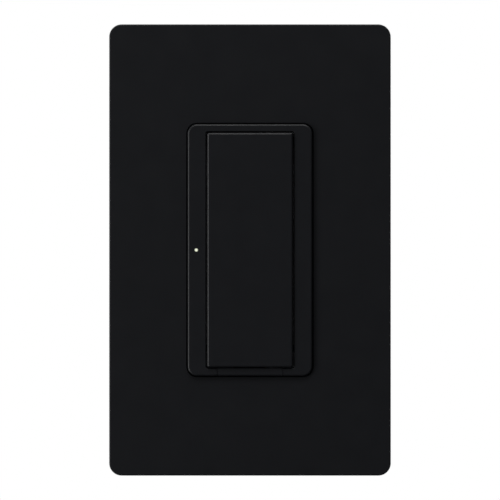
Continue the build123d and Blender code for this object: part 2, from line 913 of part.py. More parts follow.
with BuildPart() as controller_chip:
    block(
        (chip_x - chip_size / 2, chip_x + chip_size / 2),
        (board_front - chip_height, board_front),
        (chip_z - chip_size / 2, chip_z + chip_size / 2),
    )
controller_chip.part.label = "controller_chip"
export_step(controller_chip.part, "parts/controller_chip.step")

with BuildPart() as surface_mount_parts:
    small_parts = wall_plane(board_front)
    with BuildSketch(small_parts):
        with Locations((chip_x, chip_z - small_part_offset), (chip_x, chip_z + small_part_offset)):
            with GridLocations(small_part_spacing, 1, 2, 1):
                Rectangle(small_part_width, small_part_length)
        with Locations((light_x + small_part_offset, 0)):
            with GridLocations(1, small_part_spacing, 1, 3):
                Rectangle(small_part_length, small_part_width)
        with Locations((0, spring_z)):
            with GridLocations(small_part_spacing, 1, 3, 1):
                Rectangle(small_part_width, small_part_length)
    extrude(amount=small_part_height)
surface_mount_parts.part.label = "surface_mount_parts"
export_step(surface_mount_parts.part, "parts/surface_mount_parts.step")

# --- Triac, its thermal pad and its rivet, against the yoke -----------------------------
triac_front = sheet_thickness
with BuildPart() as triac:
    block(
        (-triac_width / 2, triac_width / 2),
        (triac_front, triac_front + triac_thickness),
        (triac_z, triac_z + triac_body_height),
    )
    block(
        (-triac_width / 2, triac_width / 2),
        (triac_front, triac_front + triac_tab_thickness),
        (triac_z + triac_body_height, triac_top),
    )
    rod(
        [(0, rivet_z)],
        triac_hole_radius,
        (triac_front, triac_front + triac_tab_thickness),
        Mode.SUBTRACT,
    )
    lead_y = triac_front + triac_thickness / 2
    for lead_x in (-triac_lead_pitch, 0, triac_lead_pitch):
        lead_span = (lead_x - triac_lead_width / 2, lead_x + triac_lead_width / 2)
        block(
            lead_span,
            (lead_y, lead_y + triac_lead_thickness),
            (triac_z - triac_lead_reach, triac_z),
        )
        block(
            lead_span,
            (lead_y, board_front),
            (triac_z - triac_lead_reach, triac_z - triac_lead_reach + triac_lead_thickness),
        )
triac.part.label = "triac"
export_step(triac.part, "parts/triac.step")

with BuildPart() as triac_pad:
    block((-pad_half, pad_half), (0, triac_front), (pad_bottom, pad_top))
    rod([(0, rivet_z)], triac_hole_radius, (0, triac_front), Mode.SUBTRACT)
triac_pad.part.label = "triac_pad"
export_step(triac_pad.part, "parts/triac_pad.step")

with BuildPart() as triac_rivet:
    tab_back = triac_front + triac_tab_thickness
    rod([(0, rivet_z)], rivet_head_radius, (yoke_front - rivet_head_height, yoke_front))
    rod([(0, rivet_z)], rivet_radius, (yoke_front, tab_back))
    rod([(0, rivet_z)], rivet_head_radius, (tab_back, tab_back + rivet_head_height))
triac_rivet.part.label = "triac_rivet"
export_step(triac_rivet.part, "parts/triac_rivet.step")

# --- Power parts on the back of the board -----------------------------------------------
core_span = (board_back + winding_thickness, board_back + winding_thickness + choke_height)
with BuildPart() as choke_core:
    rod([(0, choke_z)], choke_outer, core_span)
    rod([(0, choke_z)], choke_inner, core_span, Mode.SUBTRACT)
choke_core.part.label = "choke_core"
export_step(choke_core.part, "parts/choke_core.step")

with BuildPart() as choke_winding:
    winding_span = (board_back, core_span[1] + winding_thickness)
    rod([(0, choke_z)], choke_outer + winding_thickness, winding_span)
    rod([(0, choke_z)], choke_inner - winding_thickness, winding_span, Mode.SUBTRACT)
    with BuildSketch(wall_plane(core_span[1])) as core_ring:
        with Locations((0, choke_z)):
            Circle(choke_outer)
            Circle(choke_inner, mode=Mode.SUBTRACT)
    extrude(core_ring.sketch, amount=choke_height, mode=Mode.SUBTRACT)
    block(
        (-winding_gap / 2, winding_gap / 2),
        winding_span,
        (choke_z - choke_outer - winding_thickness, choke_z),
        Mode.SUBTRACT,
    )
choke_winding.part.label = "choke_winding"
export_step(choke_winding.part, "parts/choke_winding.step")

with BuildPart() as film_capacitor:
    block(
        (film_x - film_length / 2, film_x + film_length / 2),
        (board_back, board_back + film_height),
        (film_z - film_width / 2, film_z + film_width / 2),
    )
    fillet(film_capacitor.faces().sort_by(Axis.Y)[-1].edges(), inner_edge_round)
film_capacitor.part.label = "film_capacitor"
export_step(film_capacitor.part, "parts/film_capacitor.step")

with BuildPart() as electrolytic_capacitor:
    rod([(can_x, can_z)], can_radius, (board_back, board_back + can_height))
    fillet(electrolytic_capacitor.faces().sort_by(Axis.Y)[-1].edges(), bezel_edge_round)
electrolytic_capacitor.part.label = "electrolytic_capacitor"
export_step(electrolytic_capacitor.part, "parts/electrolytic_capacitor.step")

with BuildPart() as varistor:
    disc_y = board_back + disc_lift + disc_radius
    with BuildSketch(Plane.XY.offset(disc_z - disc_thickness / 2)):
        with Locations((0, disc_y)):
            Circle(disc_radius)
    extrude(amount=disc_thickness)
    lead_places = [(-disc_lead_spread, disc_z), (disc_lead_spread, disc_z)]
    rod(lead_places, disc_lead_radius, (board_back, disc_y))
varistor.part.label = "varistor"
export_step(varistor.part, "parts/varistor.step")
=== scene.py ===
"""The looks of an electronic wall tap switch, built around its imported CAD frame."""
import json
import math

import bmesh
import bpy
from mathutils import Matrix, Vector

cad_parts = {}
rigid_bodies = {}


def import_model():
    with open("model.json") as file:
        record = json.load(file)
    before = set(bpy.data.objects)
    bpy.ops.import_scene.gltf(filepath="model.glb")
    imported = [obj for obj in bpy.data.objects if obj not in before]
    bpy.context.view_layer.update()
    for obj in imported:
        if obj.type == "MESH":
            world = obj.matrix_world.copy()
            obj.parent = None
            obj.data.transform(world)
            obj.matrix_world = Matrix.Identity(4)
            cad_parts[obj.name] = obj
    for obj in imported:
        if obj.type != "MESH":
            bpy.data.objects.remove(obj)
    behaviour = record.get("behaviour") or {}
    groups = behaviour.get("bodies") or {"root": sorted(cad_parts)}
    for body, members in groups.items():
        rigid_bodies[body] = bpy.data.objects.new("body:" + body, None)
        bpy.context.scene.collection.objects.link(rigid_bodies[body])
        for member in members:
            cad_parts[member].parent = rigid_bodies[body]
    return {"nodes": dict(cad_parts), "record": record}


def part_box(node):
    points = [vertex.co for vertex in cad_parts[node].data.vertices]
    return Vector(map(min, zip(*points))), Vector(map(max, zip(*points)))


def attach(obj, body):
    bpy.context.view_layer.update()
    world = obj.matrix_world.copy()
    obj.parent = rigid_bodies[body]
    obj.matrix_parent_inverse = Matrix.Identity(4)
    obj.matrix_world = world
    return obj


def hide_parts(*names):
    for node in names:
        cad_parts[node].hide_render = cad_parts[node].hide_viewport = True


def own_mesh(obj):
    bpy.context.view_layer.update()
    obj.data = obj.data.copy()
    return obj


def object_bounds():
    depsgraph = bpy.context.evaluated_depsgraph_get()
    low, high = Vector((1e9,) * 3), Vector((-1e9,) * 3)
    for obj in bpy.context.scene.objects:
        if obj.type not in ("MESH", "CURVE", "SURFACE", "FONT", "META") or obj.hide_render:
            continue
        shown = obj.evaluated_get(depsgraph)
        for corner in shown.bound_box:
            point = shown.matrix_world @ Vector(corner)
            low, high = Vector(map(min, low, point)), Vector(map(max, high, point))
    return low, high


for leftover in list(bpy.data.objects):
    bpy.data.objects.remove(leftover)

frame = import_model()
CAD_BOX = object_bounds()
NODES = frame["nodes"]
BEHAVIOUR = frame["record"]["behaviour"]
BODY_OF = {node: body for body, nodes in BEHAVIOUR["bodies"].items() for node in nodes}
SLOT_OF = {sub["node"]: sub["material_slot"] for sub in frame["record"]["subparts"]}
MM = 0.001
INTO_WALL = (0, 1, 0)
TO_ROOM = (0, -1, 0)
UP = (0, 0, 1)


# --- Materials ---------------------------------------------------------------------

def new_material(name):
    """A node material with its tree and its Principled shader."""
    material = bpy.data.materials.new(name)
    material.use_nodes = True
    tree = material.node_tree
    return material, tree, tree.nodes["Principled BSDF"]


def noise(tree, size, stretch=(1, 1, 1), detail=2.0):
    """Noise whose features are about size metres across, stretched along the given axes."""
    place = tree.nodes.new("ShaderNodeTexCoord")
    mapping = tree.nodes.new("ShaderNodeMapping")
    mapping.inputs["Scale"].default_value = [1 / (size * s) for s in stretch]
    texture = tree.nodes.new("ShaderNodeTexNoise")
    texture.inputs["Scale"].default_value = 1.0
    texture.inputs["Detail"].default_value = detail
    tree.links.new(place.outputs["Object"], mapping.inputs["Vector"])
    tree.links.new(mapping.outputs["Vector"], texture.inputs["Vector"])
    return texture.outputs["Fac"]


def ramp(tree, value, low, high, start=0.3, end=0.7):
    """A colour between low and high, as value goes from start to end."""
    node = tree.nodes.new("ShaderNodeValToRGB")
    for stop, position, colour in zip(node.color_ramp.elements, (start, end), (low, high)):
        stop.position = position
        stop.color = (*colour, 1)
    tree.links.new(value, node.inputs["Fac"])
    return node.outputs["Color"]


def spread(tree, value, low, high, start=0.3, end=0.7):
    """A number between low and high, as value goes from start to end."""
    node = tree.nodes.new("ShaderNodeMapRange")
    node.inputs["From Min"].default_value = start
    node.inputs["From Max"].default_value = end
    node.inputs["To Min"].default_value = low
    node.inputs["To Max"].default_value = high
    tree.links.new(value, node.inputs["Value"])
    return node.outputs["Result"]


def relief(tree, shader, value, depth):
    """Relief depth metres high, from a value between 0 and 1."""
    node = tree.nodes.new("ShaderNodeBump")
    node.inputs["Distance"].default_value = depth
    tree.links.new(value, node.inputs["Height"])
    tree.links.new(node.outputs["Normal"], shader.inputs["Normal"])


def mottled(tree, value, colour, share):
    """A colour that wanders by a share of itself to each side, as value does."""
    darker = tuple(c * (1 - share) for c in colour)
    lighter = tuple(min(1.0, c * (1 + share)) for c in colour)
    return ramp(tree, value, darker, lighter)


def plastic(
    name, colour, roughness, grain=0.25 * MM, depth=0.004 * MM, specular=0.5, mottle=0.12, uneven=0.04
):
    """Moulded plastic: a fine tool texture, faint flow mottling and uneven sheen."""
    material, tree, shader = new_material(name)
    flow = noise(tree, 14 * MM, detail=3)
    tree.links.new(mottled(tree, flow, colour, mottle), shader.inputs["Base Color"])
    sheen = noise(tree, 5 * MM, detail=4)
    tree.links.new(
        spread(tree, sheen, roughness - uneven, roughness + uneven), shader.inputs["Roughness"]
    )
    shader.inputs["Specular IOR Level"].default_value = specular
    relief(tree, shader, noise(tree, grain), depth)
    return material


def metal(name, colour, roughness, stretch=(1, 1, 1)):
    """Bare or plated metal: fine grain along one direction and uneven dullness."""
    material, tree, shader = new_material(name)
    shader.inputs["Metallic"].default_value = 1.0
    patina = noise(tree, 6 * MM, detail=4)
    tree.links.new(mottled(tree, patina, colour, 0.10), shader.inputs["Base Color"])
    lines = noise(tree, 0.3 * MM, stretch=stretch, detail=3)
    tree.links.new(
        spread(tree, lines, roughness - 0.06, roughness + 0.08), shader.inputs["Roughness"]
    )
    relief(tree, shader, lines, 0.003 * MM)
    return material


# The plastics of the plate and the device: finer and more even than those behind the wall.
FACE_LOOK = {"grain": 0.18 * MM, "depth": 0.002 * MM, "specular": 0.30, "mottle": 0.04, "uneven": 0.012}
HOUSING_LOOK = {"grain": 0.4 * MM, "depth": 0.012 * MM}
FIBRE_LOOK = {"grain": 0.3 * MM, "depth": 0.02 * MM, "mottle": 0.2}
LAMINATE_LOOK = {"grain": 0.5 * MM}
FILM_LOOK = {"grain": 0.6 * MM, "depth": 0.001 * MM}
BRUSHED_UPRIGHT = {"stretch": (1, 1, 30)}

# Colour, roughness and any other look of each slot.
PLASTICS = {
    # Plate and device are one black plastic. The device's black is lighter here as painted light,
    # brightening its faces, which lie more in shade.
    "plate_plastic": ((0.0027, 0.0031, 0.0043), 0.42, FACE_LOOK),
    "device_plastic": ((0.0037, 0.0041, 0.0054), 0.40, FACE_LOOK),
    "adapter_plastic": ((0.018, 0.018, 0.019), 0.5, {}),
    "housing_plastic": ((0.03, 0.03, 0.032), 0.55, HOUSING_LOOK),
    "fibre": ((0.30, 0.24, 0.17), 0.8, FIBRE_LOOK),
    "board_laminate": ((0.012, 0.12, 0.05), 0.3, LAMINATE_LOOK),
    "chip_plastic": ((0.02, 0.02, 0.021), 0.6, {}),
    "key_plastic": ((0.25, 0.02, 0.02), 0.45, {}),
    "led_lens": ((0.85, 0.85, 0.75), 0.2, {}),
    "small_part_ceramic": ((0.30, 0.20, 0.11), 0.5, {}),
    "pad_silicone": ((0.26, 0.32, 0.38), 0.7, {}),
    "core_paint": ((0.62, 0.50, 0.08), 0.45, {}),
    "film_box": ((0.45, 0.06, 0.02), 0.4, {}),
    "can_sleeve": ((0.02, 0.03, 0.09), 0.3, {}),
    "varistor_coat": ((0.02, 0.08, 0.32), 0.28, {}),
    "label_film": ((0.62, 0.62, 0.60), 0.45, FILM_LOOK),
}
METALS = {
    "yoke_aluminium": ((0.62, 0.63, 0.65), 0.38, BRUSHED_UPRIGHT),
    "zinc_steel": ((0.60, 0.61, 0.62), 0.32, {}),
    "green_steel": ((0.05, 0.30, 0.10), 0.35, {}),
    "spring_steel": ((0.5, 0.5, 0.52), 0.25, {}),
    "terminal_brass": ((0.72, 0.50, 0.20), 0.33, {}),
    "rivet_aluminium": ((0.68, 0.68, 0.70), 0.35, {}),
    "copper_wire": ((0.62, 0.22, 0.08), 0.25, {}),
}
FINISHES = {}
for slot, (colour, roughness, look) in PLASTICS.items():
    FINISHES[slot] = plastic(slot, colour, roughness, **look)
for slot, (colour, roughness, look) in METALS.items():
    FINISHES[slot] = metal(slot, colour, roughness, **look)


def light_tip(name, centre, radius):
    """Frosted plastic lit from behind: brightest in the middle of the tip, and dim at its rim."""
    material, tree, shader = new_material(name)
    shader.inputs["Base Color"].default_value = (0.30, 0.31, 0.25, 1)
    place = tree.nodes.new("ShaderNodeTexCoord")
    mapping = tree.nodes.new("ShaderNodeMapping")
    mapping.inputs["Location"].default_value = [-c / radius for c in centre]
    mapping.inputs["Scale"].default_value = [1 / radius] * 3
    falloff = tree.nodes.new("ShaderNodeTexGradient")
    falloff.gradient_type = "SPHERICAL"
    tree.links.new(place.outputs["Object"], mapping.inputs["Vector"])
    tree.links.new(mapping.outputs["Vector"], falloff.inputs["Vector"])
    rim_glow, middle_glow = (0.03, 0.035, 0.02), (0.92, 0.98, 0.74)
    glow = ramp(tree, falloff.outputs["Fac"], rim_glow, middle_glow, start=0.0, end=1.0)
    tree.links.new(glow, shader.inputs["Emission Color"])
    shader.inputs["Emission Strength"].default_value = 1.0
    tree.links.new(spread(tree, noise(tree, 0.3 * MM), 0.35, 0.5), shader.inputs["Roughness"])
    return material


def clear_rod(name):
    """Unlit clear plastic."""
    material, tree, shader = new_material(name)
    shader.inputs["Transmission Weight"].default_value = 0.9
    shader.inputs["IOR"].default_value = 1.49
    haze = noise(tree, 2 * MM)
    tree.links.new(spread(tree, haze, 0.10, 0.22), shader.inputs["Roughness"])
    tree.links.new(
        ramp(tree, haze, (0.82, 0.86, 0.84), (0.94, 0.96, 0.95)), shader.inputs["Base Color"]
    )
    return material


LIGHT_TIP_RADIUS = 0.5
pipe_low, pipe_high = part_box("light_pipe")
pipe_front = ((pipe_low.x + pipe_high.x) / 2, pipe_low.y, (pipe_low.z + pipe_high.z) / 2)
FINISHES["clear_plastic"] = light_tip("clear_plastic", pipe_front, LIGHT_TIP_RADIUS * MM)
CLEAR_ROD = clear_rod("clear_rod")

for node, slot in SLOT_OF.items():
    NODES[node].data.materials[0] = FINISHES[slot]


# --- Meshes, all in millimetres until a piece is finished --------------------------------

def box_mm(node):
    """A CAD node's lowest and highest corners, and its centre."""
    low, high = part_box(node)
    return low / MM, high / MM, (low + high) / 2 / MM


def welded(node):
    """A CAD node's mesh with its coinciding vertices joined."""
    bm = bmesh.new()
    bm.from_mesh(NODES[node].data)
    bmesh.ops.scale(bm, vec=(1 / MM, 1 / MM, 1 / MM), verts=bm.verts)
    bmesh.ops.remove_doubles(bm, verts=bm.verts, dist=0.001)
    return bm


def solid_boxes(node):
    """The box of each separate solid of a CAD node, in order along X and then Z."""
    bm = welded(node)
    left = set(bm.verts)
    boxes = []
    while left:
        reached = [left.pop()]
        for vert in reached:
            for edge in vert.link_edges:
                other = edge.other_vert(vert)
                if other in left:
                    left.remove(other)
                    reached.append(other)
        low = Vector([min(v.co[i] for v in reached) for i in range(3)])
        high = Vector([max(v.co[i] for v in reached) for i in range(3)])
        boxes.append((low, high))
    bm.free()
    return sorted(boxes, key=lambda b: (round(b[0].x, 2), round(b[0].z, 2)))


def pointing(origin, direction):
    """The placing whose local Z runs along direction from origin."""
    turn = Vector(direction).to_track_quat("Z", "Y").to_matrix().to_4x4()
    return Matrix.Translation(origin) @ turn


def even_normals(bm, crease):
    """Corner normals that keep flat faces flat beside the rounded edges that soft_edges makes."""
    limit = math.cos(math.radians(crease))
    normals = []
    for face in bm.faces:
        for corner in face.loops:
            near = [f for f in corner.vert.link_faces if f.normal.dot(face.normal) > limit]
            flat = [f for f in near if not f.smooth]
            total = Vector()
            for neighbour in flat or near:
                total += neighbour.normal
            normals.append(total.normalized())
    return normals


def piece(name, bm, slot, *nodes, body=None, crease=35.0, even=False):
    """A finished piece, which stands for CAD nodes, rides on their body and takes a slot's finish."""
    bmesh.ops.scale(bm, vec=(MM, MM, MM), verts=bm.verts)
    bmesh.ops.recalc_face_normals(bm, faces=bm.faces)
    normals = even_normals(bm, crease) if even else None
    mesh = bpy.data.meshes.new(name)
    bm.to_mesh(mesh)
    bm.free()
    mesh.shade_smooth()
    if even:
        mesh.normals_split_custom_set(normals)
    else:
        mesh.set_sharp_from_angle(angle=math.radians(crease))
    mesh.materials.append(FINISHES[slot])
    obj = bpy.data.objects.new(name, mesh)
    bpy.context.scene.collection.objects.link(obj)
    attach(obj, body or BODY_OF[nodes[0]])
    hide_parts(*nodes)
    return obj


def revolve(bm, rows, columns, place):
    """A closed surface round local Z, from rows of (radius, along). A radius may depend on the angle."""
    rings = []
    for radius, along in rows:
        if radius == 0:
            rings.append([bm.verts.new(place @ Vector((0, 0, along)))])
            continue
        ring = []
        for column in range(columns):
            angle = math.tau * column / columns
            reach = radius(angle) if callable(radius) else radius
            spot = Vector((reach * math.cos(angle), reach * math.sin(angle), along))
            ring.append(bm.verts.new(place @ spot))
        rings.append(ring)
    for first, second in zip(rings, rings[1:]):
        for column in range(columns):
            ahead = (column + 1) % columns
            corners = [
                first[column % len(first)],
                first[ahead % len(first)],
                second[ahead % len(second)],
                second[column % len(second)],
            ]
            bm.faces.new(list(dict.fromkeys(corners)))


def rod(bm, radius, start, end, columns, place):
    """A plain round bar along local Z."""
    revolve(bm, [(0, start), (radius, start), (radius, end), (0, end)], columns, place)


def brick(bm, low, high, place=Matrix.Identity(4), taper=1.0):
    """A box between two corners; its far end in Z is taper times as wide."""
    centre_x = (low[0] + high[0]) / 2
    centre_y = (low[1] + high[1]) / 2
    corners = []
    for z, grow in ((low[2], 1.0), (high[2], taper)):
        for x, y in ((low[0], low[1]), (high[0], low[1]), (high[0], high[1]), (low[0], high[1])):
            spot = Vector((centre_x + (x - centre_x) * grow, centre_y + (y - centre_y) * grow, z))
            corners.append(bm.verts.new(place @ spot))
    for face in ((3, 2, 1, 0), (4, 5, 6, 7), (0, 1, 5, 4), (1, 2, 6, 5), (2, 3, 7, 6), (3, 0, 4, 7)):
        bm.faces.new([corners[i] for i in face])


def soft_edges(bm, width, segments=2):
    """Rounds the sharp edges of a mesh, and marks the new faces as smooth and the others as flat."""
    limit = math.radians(40)
    edges = [e for e in bm.edges if len(e.link_faces) == 2 and e.calc_face_angle() > limit]
    for face in bm.faces:
        face.smooth = False
    made = bmesh.ops.bevel(
        bm, geom=edges, offset=width, segments=segments, profile=0.5, affect="EDGES", clamp_overlap=True
    )
    for face in made["faces"]:
        face.smooth = True


def softened(name, node, width):
    """A CAD node with its sharp edges rounded as a tool would leave them."""
    bm = welded(node)
    bmesh.ops.dissolve_limit(
        bm, angle_limit=math.radians(1), verts=bm.verts, edges=bm.edges, use_dissolve_boundaries=False
    )
    soft_edges(bm, width)
    piece(name, bm, SLOT_OF[node], node, crease=50, even=True)


def tube(bm, points, radius, columns):
    """A round wire along a smooth line of points."""
    rings = []
    side = None
    for i, point in enumerate(points):
        before = points[max(i - 1, 0)]
        after = points[min(i + 1, len(points) - 1)]
        ahead = (after - before).normalized()
        if side is None:
            side = ahead.orthogonal()
        side = (side - ahead * side.dot(ahead)).normalized()
        up = ahead.cross(side)
        ring = []
        for column in range(columns):
            angle = math.tau * column / columns
            ring.append(bm.verts.new(point + radius * (math.cos(angle) * side + math.sin(angle) * up)))
        rings.append(ring)
    for first, second in zip(rings, rings[1:]):
        for column in range(columns):
            ahead = (column + 1) % columns
            bm.faces.new((first[column], first[ahead], second[ahead], second[column]))
    bm.faces.new(rings[0])
    bm.faces.new(rings[-1])


def as_object(name, bm):
    """A mesh as an object in the scene, in its own place."""
    mesh = bpy.data.meshes.new(name)
    bm.to_mesh(mesh)
    bm.free()
    obj = bpy.data.objects.new(name, mesh)
    bpy.context.scene.collection.objects.link(obj)
    return obj


def carve(bm, cutters):
    """Cuts each cutter, a mesh of its own, out of bm and returns the mesh that is left."""
    target = as_object("target", bm)
    tools = []
    for cutter in cutters:
        tool = as_object("cutter", cutter)
        cut = target.modifiers.new("cut", "BOOLEAN")
        cut.operation = "DIFFERENCE"
        cut.solver = "EXACT"
        cut.object = tool
        tools.append(tool)
    bpy.context.view_layer.update()
    result = target.evaluated_get(bpy.context.evaluated_depsgraph_get())
    left = bmesh.new()
    left.from_mesh(result.to_mesh())
    result.to_mesh_clear()
    for obj in [target, *tools]:
        bpy.data.objects.remove(obj)
    return left


def round_bar(radius, start, end, columns, place):
    """A mesh of its own that is one plain round bar: a disc, or a cutter for a round hole."""
    bar = bmesh.new()
    rod(bar, radius, start, end, columns, place)
    return bar


# --- Screws ---------------------------------------------------------------------------------

# Radius at the root and at the crest of each thread, and its pitch.
MACHINE_THREAD = {"root": 1.28, "crest": 1.75, "pitch": 0.794}
BINDING_THREAD = {"root": 1.5, "crest": 2.0, "pitch": 0.794}
HOUSING_THREAD = {"root": 0.82, "crest": 1.15, "pitch": 0.9}
THREAD_ROWS = 8
# A point ends at this share of its thread's radius.
POINT_SHARE = 0.45
# A ridge is a triangle wave made steeper and lowered, so that its crest and its root are flat.
RIDGE_SLOPE = 1.35
RIDGE_CUT = 0.15
SCREW_COLUMNS = 32
HEX_COLUMNS = 48
BINDING_HEAD_RADIUS = 3.9
BINDING_HEAD_HEIGHT = 1.9


def thread_rows(start, end, tip, root, crest, pitch):
    """Rows of a threaded shank, which runs out smoothly at start and is pointed over the length tip."""
    count = max(2, round((end - start) / pitch * THREAD_ROWS))
    rows = []
    for i in range(count + 1):
        along = start + (end - start) * i / count
        fade = min(1.0, (along - start) / pitch)
        narrow = min(1.0, POINT_SHARE + (1 - POINT_SHARE) * (end - along) / tip)

        def reach(angle, along=along, fade=fade, narrow=narrow):
            phase = (along / pitch - angle / math.tau) % 1.0
            ridge = RIDGE_SLOPE * (1 - abs(2 * phase - 1)) - RIDGE_CUT
            return narrow * (root + (crest - root) * fade * min(1.0, max(0.0, ridge)))

        rows.append((reach, along))
    return rows


def slot_cutter(reach, depth, width):
    """A straight driver slot, cut from z 0 down to depth."""
    slot = bmesh.new()
    brick(slot, (-reach, -width / 2, -0.1), (reach, width / 2, depth))
    return slot


def cross_cutters(reach, depth, width):
    """The tapered cross of a driver recess, cut from z 0 down to depth."""
    cutters = []
    for turn in (0, 90):
        arm = bmesh.new()
        spin = Matrix.Rotation(math.radians(turn), 4, "Z")
        brick(arm, (-reach, -width / 2, -0.05), (reach, width / 2, depth), spin, taper=0.45)
        cutters.append(arm)
    return cutters


def screw_head(radius, height, dome, slot_width):
    """A pan head with a combination recess: its front is at z 0 and its seat at z height."""
    under_edge = 0.12
    head = bmesh.new()
    rows = [
        (0, 0),
        (0.55 * radius, 0),
        (0.74 * radius, 0.25 * dome),
        (0.88 * radius, 0.55 * dome),
        (0.97 * radius, dome),
        (radius, 1.25 * dome),
        (radius, height - under_edge),
        (radius - under_edge, height),
        (0, height),
    ]
    revolve(head, rows, SCREW_COLUMNS, Matrix.Identity(4))
    slot = slot_cutter(1.1 * radius, 0.36 * height, slot_width)
    return carve(head, [slot, *cross_cutters(0.62 * radius, 0.75 * height, 0.30 * radius)])


def hex_head(radius, height, across, slot_width):
    """A hexagon washer head with a slot: its front is at z 0 and its seat at z height."""
    sector = math.tau / 6

    def hexagon(angle):
        return across / 2 / math.cos((angle % sector) - sector / 2)

    def chamfer(angle):
        return min(hexagon(angle), 0.53 * across)

    head = bmesh.new()
    rows = [
        (0, 0),
        (0.42 * across, 0),
        (chamfer, 0.16 * height),
        (hexagon, 0.26 * height),
        (hexagon, 0.70 * height),
        (radius - 0.1, 0.74 * height),
        (radius, 0.80 * height),
        (radius, height),
        (0, height),
    ]
    revolve(head, rows, HEX_COLUMNS, Matrix.Identity(4))
    return carve(head, [slot_cutter(radius, 0.42 * height, slot_width)])


def screw(head, head_height, place, length, neck, neck_length, tip, thread):
    """A copy of a finished head, put in place, with its own neck of radius neck and threaded shank."""
    bm = head.copy()
    bm.transform(place)
    neck_start = head_height - 0.3
    neck_end = head_height + neck_length
    threaded = thread_rows(neck_end, length, tip, **thread)
    rows = [(0, neck_start), (neck, neck_start), (neck, neck_end), *threaded[1:], (0, length)]
    revolve(bm, rows, SCREW_COLUMNS, place)
    return bm


def screws_along_y(node, head_height, facing, neck, thread):
    """Detailed screws in the places of a node's solids, with their heads towards facing."""
    boxes = solid_boxes(node)
    first_low, first_high = boxes[0]
    head_radius = (first_high.x - first_low.x) / 2
    head = screw_head(head_radius, head_height, dome=0.32 * head_height, slot_width=0.9)
    for number, (low, high) in enumerate(boxes, start=1):
        centre = (low + high) / 2
        front = low.y if facing == TO_ROOM else high.y
        place = pointing((centre.x, front, centre.z), -Vector(facing))
        length = high.y - low.y
        bm = screw(head, head_height, place, length, neck, neck_length=0.8, tip=1.2, thread=thread)
        piece(f"{node}_{number}", bm, "zinc_steel", node, crease=40)
    head.free()


def build_terminal_screws():
    """Three binding screws whose heads face outwards at the sides."""
    height = BINDING_HEAD_HEIGHT
    head = screw_head(BINDING_HEAD_RADIUS, height, dome=0.55, slot_width=1.0)
    for name in ("hot", "load", "remote"):
        node = name + "_terminal_screw"
        low, high, centre = box_mm(node)
        side = -1 if low.x < 0 else 1
        front = low.x if side < 0 else high.x
        place = pointing((front, centre.y, centre.z), (-side, 0, 0))
        length = high.x - low.x
        bm = screw(head, height, place, length, neck=1.45, neck_length=0.4, tip=1.0, thread=BINDING_THREAD)
        piece(node + "_threaded", bm, "terminal_brass", node, crease=40)
    head.free()


def build_ground_screw():
    """A green hexagon screw, whose head is under the yoke's ground tab."""
    low, high, centre = box_mm("ground_screw")
    height = BINDING_HEAD_HEIGHT
    length = high.z - low.z
    head = hex_head(BINDING_HEAD_RADIUS, height, across=5.6, slot_width=1.0)
    place = pointing((centre.x, centre.y, low.z), UP)
    bm = screw(head, height, place, length, neck=1.3, neck_length=0.3, tip=0.9, thread=MACHINE_THREAD)
    piece("ground_screw_threaded", bm, "green_steel", "ground_screw", crease=40)
    head.free()


# --- Return spring ----------------------------------------------------------------------------

def build_spring():
    """A coil with one closed turn at each end."""
    wire_radius = 0.3
    closed_turns = 1.0
    live_turns = 4.0
    steps = 28
    low, high, centre = box_mm("paddle_spring")
    radius = (high.x - low.x) / 2 - wire_radius
    start = high.y - wire_radius
    end = low.y + wire_radius
    closed_rise = 2 * wire_radius * 1.03
    live_rise = (start - end - 2 * closed_turns * closed_rise) / live_turns
    points = []
    for i in range(round((2 * closed_turns + live_turns) * steps) + 1):
        turn = i / steps
        first = min(turn, closed_turns)
        middle = min(max(turn - closed_turns, 0), live_turns)
        last = max(turn - closed_turns - live_turns, 0)
        y = start - closed_rise * (first + last) - live_rise * middle
        angle = math.tau * turn
        points.append(Vector((centre.x + radius * math.cos(angle), y, centre.z + radius * math.sin(angle))))
    bm = bmesh.new()
    tube(bm, points, wire_radius, 12)
    coil = piece("return_spring", bm, "spring_steel", "paddle_spring", crease=60)
    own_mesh(coil)


# --- Light pipe and status light ------------------------------------------------------------------

def build_light():
    """A clear rod behind the bezel, and its small domed tip that shows at the front."""
    tip_length = 1.6
    dome = 0.12
    dome_rows = 6
    bevel = 0.1
    low, high, centre = box_mm("light_pipe")
    place = pointing((centre.x, low.y, centre.z), INTO_WALL)
    tip = bmesh.new()
    rows = [(0, 0)]
    for i in range(1, dome_rows + 1):
        angle = math.radians(90 / dome_rows * i)
        rows.append((LIGHT_TIP_RADIUS * math.sin(angle), dome * (1 - math.cos(angle))))
    rows += [(LIGHT_TIP_RADIUS, tip_length), (0, tip_length)]
    revolve(tip, rows, 32, place)
    piece("light_pipe_tip", tip, "clear_plastic", "light_pipe")
    stem = bmesh.new()
    radius = (high.x - low.x) / 2
    far_radius = 0.94 * radius
    length = high.y - low.y
    rows = [
        (0, tip_length),
        (radius - bevel, tip_length),
        (radius, tip_length + bevel),
        (far_radius, length - 1.5 * bevel),
        (far_radius - 1.5 * bevel, length),
        (0, length),
    ]
    revolve(stem, rows, 32, place)
    clear = piece("light_pipe_stem", stem, "clear_plastic", "light_pipe")
    clear.data.materials[0] = CLEAR_ROD


# --- Choke ---------------------------------------------------------------------------------------

